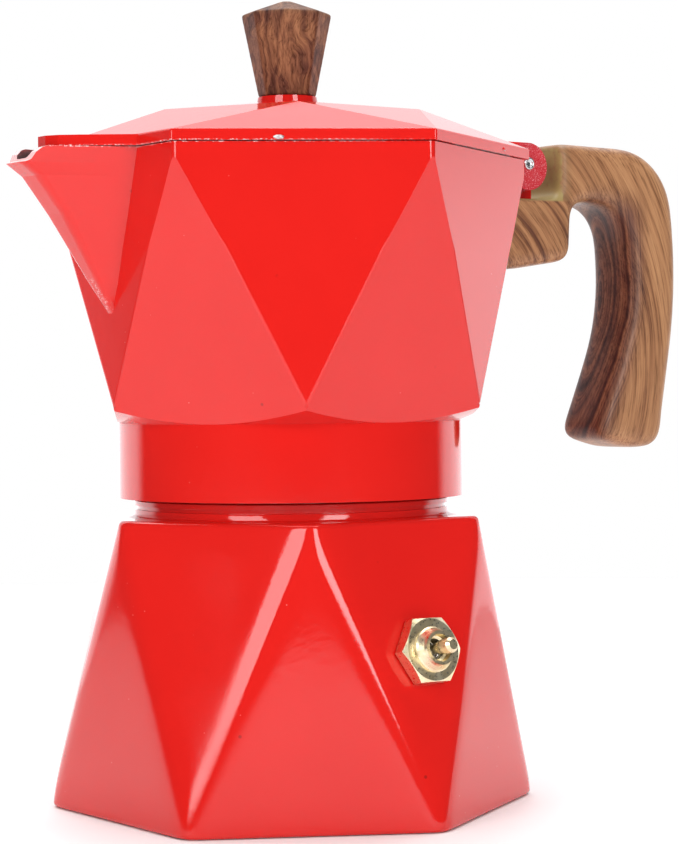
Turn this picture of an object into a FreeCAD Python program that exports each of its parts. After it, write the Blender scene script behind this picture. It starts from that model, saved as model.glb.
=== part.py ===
import FreeCAD, Part
import math
import os
import re

import Sketcher

# Three-cup stove-top moka pot with faceted castings, millimetres, +Z up.
# Origin: centre of the boiler's flat bottom. +X points to the handle, -X to the spout.

Vector = FreeCAD.Vector
Rotation = FreeCAD.Rotation
Placement = FreeCAD.Placement
UP = Vector(0, 0, 1)

os.makedirs("parts", exist_ok=True)
doc = FreeCAD.newDocument("moka_pot")

# ---------------------------------------------------------------------------
# Driving dimensions
# ---------------------------------------------------------------------------
SIZES = [
    # boiler
    ("base_radius", 48.95, "boiler corner radius at the bottom"),
    ("shoulder_radius", 40.4, "boiler corner radius at the shoulder"),
    ("shoulder_height", 57.7, "height of the boiler's shoulder"),
    ("boiler_turn", 1.2, "degrees the boiler lags behind the collector when tight"),
    ("boiler_wall", 3.2, "boiler wall measured on the corner radius"),
    ("boiler_floor", 2.6, "thickness of the boiler's bottom"),
    ("neck_collar_radius", 31.5, "plain collar under the thread"),
    ("neck_collar_top", 61.0, "top of the plain collar"),
    ("neck_root_radius", 30.3, "root of the male thread"),
    ("neck_bore_radius", 27.0, "hole the funnel hangs in"),
    ("neck_top", 69.6, "seat of the funnel's flange"),
    ("groove_depth", 0.6, "groove round the collar"),
    ("boiler_edge", 5.0, "rounding between the boiler's facets"),
    ("boiler_rim_edge", 1.2, "rounding of the boiler's bottom and shoulder"),
    # screw thread between boiler and collector
    ("pitch", 3.0, "rise for each turn"),
    ("ridge_height", 1.0, "radial height of both ridges"),
    ("ridge_foot", 1.5, "width of a ridge at its foot"),
    ("ridge_crest", 0.7, "width of a ridge at its crest"),
    ("male_start", 62.0, "height of the male ridge's lower end"),
    ("male_turns", 2.2, "turns of the male ridge"),
    ("female_start", 63.5, "height of the female ridge's lower end"),
    ("female_turns", 1.5, "turns of the female ridge"),
    # safety valve
    ("valve_height", 33.0, "height of the valve's axis on the facet"),
    ("valve_side", 1.0, "distance of the valve beside the facet's middle"),
    ("valve_across_flats", 12.0, "spanner size"),
    ("valve_washer_thick", 0.4, "sealing washer under the hexagon"),
    ("valve_washer_radius", 5.6, "outer radius of the washer"),
    ("valve_hex_face", 3.2, "outer face of the hexagon"),
    ("valve_shank_radius", 4.2, "screwed shank"),
    ("valve_shank_end", 7.0, "depth of the shank inside the facet"),
    ("valve_boss_radius", 4.3, "boss on the hexagon"),
    ("valve_snout_radius", 3.25, "outer end of the boss"),
    ("valve_snout_end", 5.5, "end of the boss"),
    ("valve_mouth_radius", 2.0, "hole round the pin"),
    ("valve_chamber_radius", 2.6, "spring chamber"),
    ("valve_chamber_end", 2.4, "shoulder that holds the spring"),
    ("valve_seat_thick", 1.4, "pressed-in seat ring"),
    ("valve_inlet_radius", 1.1, "steam inlet in the seat ring"),
    ("valve_seal_thick", 0.7, "seal disc"),
    ("valve_flange_radius", 2.3, "flange of the pin"),
    ("valve_flange_thick", 0.7, "thickness of that flange"),
    ("valve_stem_radius", 0.9, "stem inside the spring"),
    ("valve_waist_radius", 1.15, "waist below the pin's head"),
    ("valve_head_radius", 1.45, "visible head of the pin"),
    ("valve_head_start", 6.4, "foot of the head"),
    ("valve_head_end", 9.4, "end of the head"),
    ("valve_wire_radius", 0.25, "spring wire"),
    ("valve_coil_radius", 1.9, "middle of the spring's wire"),
    ("valve_coils", 6.0, "turns of the spring"),
    # funnel, gasket and filter plate
    ("funnel_flange_radius", 30.0, "rim that rests on the neck"),
    ("sheet_metal", 0.8, "thickness of the funnel and the filter plate"),
    ("funnel_cup_radius", 26.4, "outside of the coffee basket"),
    ("funnel_cup_bottom", 48.0, "underside of the basket's floor ledge"),
    ("funnel_cone_bottom", 38.0, "where the cone meets the tube"),
    ("funnel_tube_radius", 4.2, "outside of the suction tube"),
    ("funnel_tube_end", 7.0, "lower end of the suction tube"),
    ("strainer_radius", 25.3, "perforated floor of the basket"),
    ("strainer_hole", 0.6, "radius of the strainer's holes"),
    ("gasket_inner_radius", 24.0, "inside of the gasket"),
    ("gasket_outer_radius", 29.9, "outside of the gasket"),
    ("gasket_thick", 3.0, "thickness of the gasket"),
    ("plate_radius", 29.6, "outside of the filter plate"),
    ("plate_dome", 1.2, "rise of the plate's middle"),
    ("plate_step_radius", 21.5, "edge of the raised middle"),
    ("plate_hole", 0.5, "radius of the filter plate's holes"),
    # collector
    ("skirt_radius", 34.5, "round band"),
    ("skirt_bottom", 61.35, "lower edge of the band"),
    ("skirt_top", 76.2, "where the band meets the facets"),
    ("skirt_bore_radius", 31.75, "root of the female thread"),
    ("recess_radius", 30.2, "recess that holds gasket and plate"),
    ("thread_room_top", 70.2, "upper end of the threaded bore"),
    ("chamber_radius", 23.2, "space above the filter plate"),
    ("chamber_top", 77.4, "roof of that space"),
    ("waist_radius", 40.9, "collector corner radius at the waist"),
    ("waist_height", 79.4, "height of the waist corners"),
    ("underside_slope", 2.4, "run for each rise of the cone under the waist corners"),
    ("rim_radius", 48.1, "collector corner radius at the rim"),
    ("rim_band_bottom", 126.3, "where the facets meet the rim's band"),
    ("rim_top", 128.45, "height of the rim"),
    ("collector_edge", 1.4, "rounding between the collector's facets"),
    ("collector_wall", 2.7, "collector wall measured on the corner radius"),
    ("collector_floor", 80.4, "inside bottom of the collector, where its base ends"),
    # spout
    ("spout_apex", 96.8, "height of the spout's lowest point"),
    ("spout_reach", 62.0, "distance of the lip from the axis"),
    ("spout_lip", 125.4, "height of the lip"),
    ("spout_dip", 58.6, "distance at which the rim starts to dip"),
    ("spout_root", 11.2, "half width at the rim"),
    ("spout_tip", 1.8, "half width at the lowest point"),
    ("spout_nose", 3.6, "half width of the nose"),
    ("spout_wall", 1.9, "spout wall"),
    # coffee column
    ("column_radius", 5.2, "outside of the column at its foot"),
    ("column_top_radius", 4.3, "outside of the column at its top"),
    ("column_bore", 2.6, "bore of the column"),
    ("column_top", 116.0, "top of the column"),
    ("column_boss_radius", 9.0, "boss round the column's foot"),
    ("column_boss_top", 84.5, "top of that boss"),
    ("cap_radius", 5.6, "mushroom cap on the column"),
    ("cap_height", 3.6, "height of the cap over the column"),
    ("outlet_width", 2.6, "width of the two outlets"),
    ("outlet_height", 7.0, "height of the two outlets"),
    # lid
    ("lid_radius", 49.0, "lid corner radius"),
    ("lid_bottom", 128.6, "underside of the lid"),
    ("lid_edge_top", 130.65, "upper edge of the lid's rim"),
    ("lid_inner_radius", 28.7, "corner radius of the inner hexagon"),
    ("lid_inner_height", 137.2, "height of the inner hexagon"),
    ("lid_peak_radius", 6.3, "foot of the knob's collar"),
    ("lid_peak_height", 139.8, "height of that foot"),
    ("lid_collar_radius", 5.9, "top of the knob's collar"),
    ("lid_collar_top", 141.0, "seat of the knob"),
    ("lid_wall", 2.0, "lid wall"),
    ("lid_edge", 0.6, "rounding of the lid's edges"),
    ("beak_reach", 55.8, "tip of the lid's beak"),
    ("beak_root", 14.6, "half width of the beak at the lid"),
    ("beak_nose", 4.0, "half width of the beak near its tip"),
    # hinge
    ("pin_reach", 56.7, "hinge pin, distance from the axis"),
    ("pin_height", 129.7, "hinge pin, height"),
    ("pin_radius", 1.1, "hinge pin"),
    ("pin_clearance", 0.05, "running clearance in the lid's cheeks"),
    ("pin_head_radius", 1.35, "rivet head of the hinge pin"),
    ("cheek_half_width", 7.0, "outer face of the cheeks"),
    ("cheek_radius", 5.0, "rounding of the cheeks"),
    ("cheek_centre_drop", 0.6, "rounding centre below the pin"),
    ("cheek_top", 134.1, "flat top of the cheeks"),
    ("lug_half_width", 3.0, "collector's hinge lug"),
    ("lug_radius", 3.9, "lug round the pin"),
    ("lug_bottom", 113.0, "underside of the lug"),
    ("lug_gap", 0.35, "play beside the lug"),
    # handle
    ("handle_half_width", 7.5, "half thickness of the handle"),
    ("handle_top", 134.5, "flat top of the handle"),
    ("handle_notch_wall", 65.7, "rear wall of the hinge notch"),
    ("handle_notch_floor", 122.4, "floor of the hinge notch"),
    ("handle_front", 42.4, "front of the mounting block"),
    ("handle_edge", 2.6, "rounding of the handle's edges"),
    ("handle_screw_reach", 51.0, "handle screw, distance from the axis"),
    ("handle_screw_radius", 2.0, "shank of the handle screw"),
    ("handle_screw_head", 3.6, "head of the handle screw"),
    ("handle_screw_seat", 109.6, "seat of that head"),
    # knob
    ("knob_foot_radius", 5.8, "knob corner radius at its foot"),
    ("knob_crown_radius", 9.1, "knob corner radius at its crown"),
    ("knob_foot", 141.1, "height of the knob's foot"),
    ("knob_crown", 157.5, "height of the knob's crown"),
    ("knob_peak", 160.2, "top of the knob"),
    ("knob_turn", 10.9, "degrees the knob's corners stand from +X"),
    ("insert_radius", 3.0, "threaded insert in the knob"),
    ("insert_length", 9.0, "length of the insert"),
    ("knob_screw_radius", 1.9, "shank of the knob screw"),
    ("knob_screw_head", 3.6, "head of the knob screw"),
    ("knob_washer_radius", 4.6, "washer under that head"),
]

sheet = doc.addObject("Spreadsheet::Sheet", "Sizes")
for row, (alias, value, note) in enumerate(SIZES, start=1):
    sheet.set("A%d" % row, alias)
    sheet.set("B%d" % row, str(value))
    sheet.set("C%d" % row, note)
    sheet.setAlias("B%d" % row, alias)
doc.recompute()

ALIASES = {alias for alias, value, note in SIZES}


def value(expression):
    """Number that an expression of sheet aliases stands for."""
    result = sheet.evalExpression(cells(expression))
    return float(getattr(result, "Value", result))


def cells(expression):
    """The expression with each alias written as a cell of the sheet."""
    def cell(match):
        word = match.group(0)
        return "Sizes." + word if word in ALIASES else word
    return re.sub(r"[a-z_]+", cell, str(expression))


sub_parts = []


def keep(shape_object, label, placement=None):
    """Register a finished sub-part under its own name."""
    shape_object.Label = label
    if placement is not None:
        shape_object.Placement = placement
    sub_parts.append(shape_object)
    return shape_object


def feature(label, shape, placement=None):
    """Sub-part whose shape comes from Part's own functions."""
    shape_object = doc.addObject("Part::Feature", label)
    shape_object.Shape = shape
    return keep(shape_object, label, placement)


# ---------------------------------------------------------------------------
# Turned pieces: a half section in a sketch, revolved about +Z
# ---------------------------------------------------------------------------
def turned(label, outline, placement=None, scratch=False):
    """Body of revolution. outline lists (radius, height) expressions."""
    body = doc.addObject("PartDesign::Body", label)
    sketch = body.newObject("Sketcher::SketchObject", label + "_section")
    plane = [f for f in body.Origin.OriginFeatures if f.Role == "XZ_Plane"][0]
    sketch.AttachmentSupport = [(plane, "")]
    sketch.MapMode = "FlatFace"
    corners = [Vector(value(r), value(z), 0) for r, z in outline]
    count = len(corners)
    for i in range(count):
        sketch.addGeometry(Part.LineSegment(corners[i], corners[(i + 1) % count]), False)
    for i in range(count):
        sketch.addConstraint(Sketcher.Constraint("Coincident", i, 2, (i + 1) % count, 1))
    for i, (r, z) in enumerate(outline):
        if r == "0":
            sketch.addConstraint(Sketcher.Constraint("PointOnObject", i, 1, -2))
        else:
            across = Sketcher.Constraint("DistanceX", -1, 1, i, 1, corners[i].x)
            index = sketch.addConstraint(across)
            sketch.setExpression("Constraints[%d]" % index, cells(r))
        if z == "0":
            sketch.addConstraint(Sketcher.Constraint("PointOnObject", i, 1, -1))
        else:
            along = Sketcher.Constraint("DistanceY", -1, 1, i, 1, corners[i].y)
            index = sketch.addConstraint(along)
            sketch.setExpression("Constraints[%d]" % index, cells(z))
    spin = body.newObject("PartDesign::Revolution", label + "_turned")
    spin.Profile = sketch
    spin.ReferenceAxis = (sketch, ["V_Axis"])
    spin.Angle = 360
    doc.recompute()
    if scratch:
        return body
    return keep(body, label, placement)


def ring_of(radius, height, first):
    """Six corners of a level hexagon; the first stands at the azimuth first, in degrees."""
    angles = [math.radians(first + 60 * i) for i in range(6)]
    return [Vector(radius * math.cos(a), radius * math.sin(a), height) for a in angles]


def face(points):
    return Part.Face(Part.makePolygon(points + points[:1]))


def faceted(rings):
    """Closed solid through level hexagons (radius, height, first azimuth).

    Two hexagons that stand alike are joined by flat sides. Where the upper one
    is turned by 30 degrees they are joined by twelve triangles.
    """
    loops = [ring_of(*ring) for ring in rings]
    faces = [face(loops[0][::-1]), face(loops[-1])]
    for k in range(len(rings) - 1):
        low, high = loops[k], loops[k + 1]
        turn = round(rings[k + 1][2] - rings[k][2])
        for i in range(6):
            j = (i + 1) % 6
            if turn == 0:
                faces.append(face([low[i], low[j], high[j], high[i]]))
            elif turn == 30:
                faces.append(face([low[i], low[j], high[i]]))
                faces.append(face([high[j], high[i], low[j]]))
            else:
                faces.append(face([low[i], low[j], high[j]]))
                faces.append(face([high[j], high[i], low[i]]))
    return Part.Solid(Part.Shell(faces))


def edges_that_span(shape, low, high):
    """Edges of the shape that reach from one height to the other."""
    tolerance = 0.1
    found = []
    for edge in shape.Edges:
        box = edge.BoundBox
        if abs(box.ZMin - low) < tolerance and abs(box.ZMax - high) < tolerance:
            found.append(edge)
    return found


def cylinder(radius, bottom, top):
    return Part.makeCylinder(radius, top - bottom, Vector(0, 0, bottom), UP)


def cone(low_radius, high_radius, bottom, top):
    return Part.makeCone(low_radius, high_radius, top - bottom, Vector(0, 0, bottom), UP)


def helical_ridge(radius, outward, start, turns):
    """Trapezoid ridge on a right-hand helix, its foot buried in the wall."""
    depth = value("ridge_height")
    foot = value("ridge_foot") / 2
    crest = value("ridge_crest") / 2
    side = 1 if outward else -1
    bury = 0.25
    spine = Part.makeHelix(value("pitch"), value("pitch") * turns, radius)
    corners = [
        Vector(radius - side * bury, 0, -foot),
        Vector(radius + side * depth, 0, -crest),
        Vector(radius + side * depth, 0, crest),
        Vector(radius - side * bury, 0, foot),
    ]
    section = Part.makePolygon(corners + corners[:1])
    ridge = Part.Wire(spine.Edges).makePipeShell([section], True, True)
    ridge.translate(Vector(0, 0, start))
    return ridge


def prism_y(corners, half_width):
    """Outline of (x, z) corners pulled out to both sides of the XZ plane."""
    points = [Vector(x, -half_width, z) for x, z in corners]
    return face(points).extrude(Vector(0, 2 * half_width, 0))


# ---------------------------------------------------------------------------
# Boiler
# ---------------------------------------------------------------------------
TURN = value("boiler_turn")
SHOULDER = value("shoulder_height")
LEAN = math.atan(value("(base_radius - shoulder_radius * cos(30)) / shoulder_height"))


def valve_frame():
    """Placement whose +Z leaves the boiler's front facet through the valve."""
    azimuth = math.radians(TURN - 90)
    height = value("valve_height")
    outward = Vector(math.cos(azimuth), math.sin(azimuth), 0)
    sideways = Vector(-math.sin(azimuth), math.cos(azimuth), 0)
    reach = value("base_radius") - height * math.tan(LEAN)
    seat = outward * reach + sideways * value("valve_side") + UP * height
    axis = outward * math.cos(LEAN) + UP * math.sin(LEAN)
    return Placement(seat, Rotation(UP, axis))


VALVE = valve_frame()


def boiler():
    wall = value("boiler_wall")
    outside = faceted([
        (value("base_radius"), 0, 30 + TURN),
        (value("shoulder_radius"), SHOULDER, 60 + TURN),
    ])
    outside = outside.makeFillet(value("boiler_edge"), edges_that_span(outside, 0, SHOULDER))
    level = edges_that_span(outside, 0, 0) + edges_that_span(outside, SHOULDER, SHOULDER)
    outside = outside.makeFillet(value("boiler_rim_edge"), level)
    inside = faceted([
        (value("base_radius") - wall, value("boiler_floor"), 30 + TURN),
        (value("shoulder_radius") - wall, SHOULDER - wall, 60 + TURN),
    ])
    collar_top = value("neck_collar_top")
    neck_top = value("neck_top")
    collar = cylinder(value("neck_collar_radius"), SHOULDER - 1, collar_top)
    groove_middle = (SHOULDER + value("skirt_bottom")) / 2
    groove_floor = value("neck_collar_radius - groove_depth")
    groove = cylinder(value("neck_collar_radius") + 1, groove_middle - 0.35, groove_middle + 0.35)
    groove = groove.cut(cylinder(groove_floor, groove_middle - 1, groove_middle + 1))
    neck = cylinder(value("neck_root_radius"), SHOULDER - 1, neck_top)
    thread = helical_ridge(value("neck_root_radius"), True, value("male_start"),
                           value("male_turns"))
    shape = outside.cut(inside).fuse([collar, neck]).cut(groove).fuse(thread)
    bore = cylinder(value("neck_bore_radius"), SHOULDER - 2 * wall, neck_top + 1)
    valve_hole = Part.makeCylinder(value("valve_shank_radius") + 0.03, 20, Vector(0, 0, -15), UP)
    valve_hole.Placement = VALVE
    return feature("boiler", shape.cut(bore).cut(valve_hole).removeSplitter())


boiler()


# ---------------------------------------------------------------------------
# Safety valve, each piece along its own +Z, zero at the shank's inner end
# ---------------------------------------------------------------------------
def valve_place():
    """Placement of the valve's pieces, which measure from the shank's inner end."""
    return VALVE.multiply(Placement(Vector(0, 0, -value("valve_shank_end")), Rotation()))


AT_VALVE = valve_place()
SEAT = "valve_seat_thick"
SEAL = "valve_seat_thick + valve_seal_thick"
FLANGE = "valve_seat_thick + valve_seal_thick + valve_flange_thick"


def valve_body():
    barrel = turned("valve_barrel", [
        ("valve_chamber_radius", "0"),
        ("valve_shank_radius", "0"),
        ("valve_shank_radius", "valve_shank_end + valve_washer_thick + 1"),
        ("valve_boss_radius", "valve_shank_end + valve_washer_thick + 1"),
        ("valve_boss_radius", "valve_shank_end + valve_hex_face + 0.4"),
        ("valve_boss_radius - 0.3", "valve_shank_end + valve_hex_face + 0.7"),
        ("valve_snout_radius + 0.2", "valve_shank_end + valve_snout_end - 0.6"),
        ("valve_snout_radius", "valve_shank_end + valve_snout_end"),
        ("valve_mouth_radius + 0.6", "valve_shank_end + valve_snout_end"),
        ("valve_mouth_radius + 0.5", "valve_shank_end + valve_snout_end - 1.5"),
        ("valve_mouth_radius", "valve_shank_end + valve_snout_end - 1.8"),
        ("valve_mouth_radius", "valve_shank_end + valve_chamber_end"),
        ("valve_chamber_radius", "valve_shank_end + valve_chamber_end"),
    ], scratch=True)
    hexagon = doc.addObject("Part::Prism", "valve_hexagon")
    hexagon.Polygon = 6
    hexagon.setExpression("Circumradius", cells("valve_across_flats / 2 / cos(30)"))
    hexagon.setExpression("Height", cells("valve_hex_face - valve_washer_thick"))
    hexagon.setExpression("Placement.Base.z", cells("valve_shank_end + valve_washer_thick"))
    chamfer = doc.addObject("Part::Cone", "valve_chamfer")
    chamfer.setExpression("Radius1", cells("valve_across_flats / 2 + 4.6"))
    chamfer.setExpression("Radius2", cells("valve_across_flats / 2 - 0.1"))
    chamfer.setExpression("Height", cells("valve_hex_face - valve_washer_thick"))
    chamfer.setExpression("Placement.Base.z", cells("valve_shank_end + valve_washer_thick"))
    bevelled = doc.addObject("Part::Common", "valve_bevelled")
    bevelled.Base = hexagon
    bevelled.Tool = chamfer
    passage = doc.addObject("Part::Cylinder", "valve_passage")
    passage.setExpression("Radius", cells("valve_mouth_radius + 0.3"))
    passage.Height = 40
    ring = doc.addObject("Part::Cut", "valve_ring")
    ring.Base = bevelled
    ring.Tool = passage
    whole = doc.addObject("Part::Fuse", "valve_whole")
    whole.Base = ring
    whole.Tool = barrel
    whole.Refine = True
    doc.recompute()
    return keep(whole, "valve_body", AT_VALVE)


valve_body()

turned("valve_washer", [
    ("valve_shank_radius + 0.1", "valve_shank_end"),
    ("valve_washer_radius", "valve_shank_end"),
    ("valve_washer_radius", "valve_shank_end + valve_washer_thick"),
    ("valve_shank_radius + 0.1", "valve_shank_end + valve_washer_thick"),
], AT_VALVE)

turned("valve_seat", [
    ("valve_inlet_radius", "0"),
    ("valve_chamber_radius - 0.02", "0"),
    ("valve_chamber_radius - 0.02", SEAT),
    ("valve_inlet_radius", SEAT),
], AT_VALVE)

turned("valve_seal", [
    ("0", SEAT + " + 0.02"),
    ("valve_flange_radius - 0.1", SEAT + " + 0.02"),
    ("valve_flange_radius - 0.1", SEAL),
    ("0", SEAL),
], AT_VALVE)

turned("valve_pin", [
    ("0", SEAL),
    ("valve_flange_radius", SEAL),
    ("valve_flange_radius", FLANGE),
    ("valve_stem_radius", FLANGE),
    ("valve_stem_radius", "valve_shank_end + valve_chamber_end"),
    ("valve_waist_radius", "valve_shank_end + valve_snout_end"),
    ("valve_waist_radius", "valve_shank_end + valve_head_start - 0.4"),
    ("valve_head_radius", "valve_shank_end + valve_head_start"),
    ("valve_head_radius", "valve_shank_end + valve_head_end - 0.6"),
    ("valve_head_radius - 0.5", "valve_shank_end + valve_head_end"),
    ("0", "valve_shank_end + valve_head_end"),
], AT_VALVE)


def valve_spring():
    wire = value("valve_wire_radius")
    low = value(FLANGE) + wire + 0.02
    high = value("valve_shank_end + valve_chamber_end") - wire - 0.02
    radius = value("valve_coil_radius")
    spine = Part.makeHelix((high - low) / value("valve_coils"), high - low, radius)
    section = Part.Wire(Part.makeCircle(wire, Vector(radius, 0, 0), Vector(0, 1, 0)))
    coil = Part.Wire(spine.Edges).makePipeShell([section], True, True)
    lift = Placement(Vector(0, 0, low), Rotation())
    return feature("valve_spring", coil, AT_VALVE.multiply(lift))


valve_spring()

# ---------------------------------------------------------------------------
# Funnel with its strainer, gasket and filter plate
# ---------------------------------------------------------------------------
turned("funnel_basket", [
    ("funnel_tube_radius - sheet_metal", "funnel_tube_end"),
    ("funnel_tube_radius", "funnel_tube_end"),
    ("funnel_tube_radius", "funnel_cone_bottom"),
    ("funnel_cup_radius", "funnel_cup_bottom - 1.5"),
    ("funnel_cup_radius", "neck_top"),
    ("funnel_flange_radius", "neck_top"),
    ("funnel_flange_radius", "neck_top + sheet_metal"),
    ("funnel_cup_radius - sheet_metal", "neck_top + sheet_metal"),
    ("funnel_cup_radius - sheet_metal", "funnel_cup_bottom"),
    ("funnel_cup_radius - 3", "funnel_cup_bottom"),
    ("funnel_tube_radius - sheet_metal", "funnel_cone_bottom + sheet_metal"),
])


def hole_rings(first, step, last):
    """Centres of round holes on rings that grow by one spacing, six more holes on each."""
    centres = []
    ring = 1
    radius = first
    while radius <= last:
        count = 6 * ring
        for i in range(count):
            angle = math.radians(360 * i / count)
            centres.append(Vector(radius * math.cos(angle), radius * math.sin(angle), 0))
        ring += 1
        radius += step
    return centres


def perforate(shape, centres, radius, bottom, top):
    """The shape with an upright round hole at every centre."""
    drills = [Part.makeCylinder(radius, top - bottom, c + UP * bottom, UP) for c in centres]
    return shape.cut(Part.makeCompound(drills))


def funnel_strainer():
    bottom = value("funnel_cup_bottom") + 0.02
    thick = value("sheet_metal")
    disc = cylinder(value("strainer_radius"), bottom, bottom + thick)
    centres = hole_rings(3.2, 3.2, 20)
    shape = perforate(disc, centres, value("strainer_hole"), bottom - 1, bottom + thick + 1)
    return feature("funnel_strainer", shape)


funnel_strainer()

turned("filter_gasket", [
    ("gasket_inner_radius", "neck_top + sheet_metal"),
    ("gasket_outer_radius", "neck_top + sheet_metal"),
    ("gasket_outer_radius", "neck_top + sheet_metal + gasket_thick"),
    ("gasket_inner_radius", "neck_top + sheet_metal + gasket_thick"),
])

PLATE = value("neck_top + sheet_metal + gasket_thick")


def filter_plate():
    thick = value("sheet_metal")
    dome = value("plate_dome")
    step = value("plate_step_radius")
    rim = cylinder(value("plate_radius"), PLATE, PLATE + thick)
    rim = rim.cut(cylinder(step - 1, PLATE - 1, PLATE + thick + 1))
    slope = cone(step, step - dome, PLATE, PLATE + dome + thick)
    slope = slope.cut(cone(step - thick, step - thick - dome, PLATE - 0.01, PLATE + dome))
    shape = rim.fuse(slope).removeSplitter()
    centres = hole_rings(2.8, 2.8, 18)
    low = PLATE - 1
    high = PLATE + dome + thick + 1
    return feature("filter_plate", perforate(shape, centres, value("plate_hole"), low, high))


filter_plate()


# ---------------------------------------------------------------------------
# Collector with skirt, spout and hinge lug
# ---------------------------------------------------------------------------
def nose_section(start, reach, base, half, height):
    """Level outline from the wall to a nose with two rounded corners."""
    radius = half * 0.6
    corner = Vector(-reach, half, height)
    back = (Vector(-start, base, height) - corner).normalize()
    inward = Vector(0, -1, 0)
    half_angle = back.getAngle(inward) / 2
    cut = radius / math.tan(half_angle)
    first = corner + back * cut
    last = corner + inward * cut
    bisector = (back + inward).normalize()
    middle = corner + bisector * (radius / math.sin(half_angle) - radius)

    def mirrored(point):
        return Vector(point.x, -point.y, point.z)

    root = Vector(-start, base, height)
    edges = [
        Part.LineSegment(root, first).toShape(),
        Part.Arc(first, middle, last).toShape(),
        Part.LineSegment(last, mirrored(last)).toShape(),
        Part.Arc(mirrored(last), mirrored(middle), mirrored(first)).toShape(),
        Part.LineSegment(mirrored(first), mirrored(root)).toShape(),
        Part.LineSegment(mirrored(root), root).toShape(),
    ]
    return Part.Wire(edges)


def spout_loft(inset):
    """Solid of the spout, each outline pulled in by inset."""
    root = value("spout_root")
    nose = value("spout_nose")
    reach = value("spout_reach")
    apex = value("spout_apex")
    lip = value("spout_lip")
    top = value("rim_top")
    tip = value("spout_tip")
    wall_reach = value("rim_radius * cos(30)")
    start = value("waist_radius") - 4.3
    span = top - apex
    sections = [
        # height, distance of the nose, half width of the nose
        (apex, reach - 21.1, nose * 0.35),
        (apex + 0.20 * span, reach - 17.0, nose * 0.55),
        (apex + 0.61 * span, reach - 8.8, nose),
        (apex + 0.83 * span, reach - 3.4, nose),
        (lip, reach, nose),
        (top, reach + 1.3, nose),
    ]
    wires = []
    for height, distance, half in sections:
        share = (height - apex) / span
        wall = tip + (root - tip) * share
        widen = (wall - half) / (distance - wall_reach + 0.001)
        base = min(wall + widen * (wall_reach - start), wall * 1.35)
        near = max(half - inset * 0.7, 0.45)
        far = max(base - inset * 1.1, 0.7)
        out = distance - inset * 1.2
        low = height + (inset if height == apex else 0)
        wires.append(nose_section(start, out, far, near, low))
    return Part.makeLoft(wires, True, True)


def hinge_lug():
    """Cast lug that carries the hinge pin and takes the handle's screw."""
    half = value("lug_half_width")
    pin_x = value("pin_reach")
    pin_z = value("pin_height")
    radius = value("lug_radius")
    start = value("waist_radius - 2.5")
    plate = prism_y([
        (start, value("lug_bottom")),
        (pin_x + radius, value("lug_bottom")),
        (pin_x + radius, pin_z),
        (pin_x - radius, pin_z),
        (pin_x - radius, value("rim_top") - 0.6),
        (start, value("rim_top") - 0.6),
    ], half)
    barrel = Part.makeCylinder(radius, 2 * half, Vector(pin_x, -half, pin_z), Vector(0, 1, 0))
    return plate.fuse(barrel)


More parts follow.
